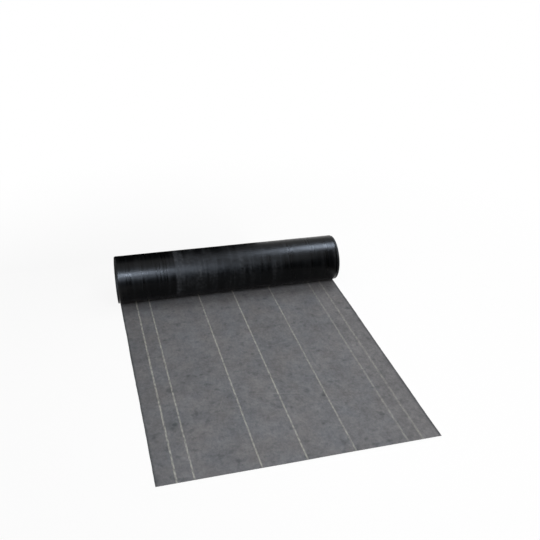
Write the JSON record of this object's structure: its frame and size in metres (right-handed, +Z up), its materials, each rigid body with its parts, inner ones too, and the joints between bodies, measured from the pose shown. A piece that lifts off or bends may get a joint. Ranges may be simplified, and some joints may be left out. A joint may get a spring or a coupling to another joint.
{
  "type": "roll of roofing underlayment",
  "caption": "Roll of asphalt roofing underlayment on a cardboard core, lying on its side with its free end laid out flat in front as a grey sheet with lay lines.",
  "frame": {"origin": "on the floor, under the middle of the footprint of the roll and its laid sheet", "axes": "+X along the roll's axis, +Y from the sheet's free end to the roll, +Z up"},
  "size_m": [0.9174, 1.1508, 0.1918],
  "materials": {
    "asphalt_membrane": "grey mat face with printed lines, black film back",
    "kraft_board": "matt spiral-wound kraft paper"
  },
  "bodies": {
    "root": {"membrane": "asphalt_membrane", "core_tube": "kraft_board"}
  },
  "joints": []
}
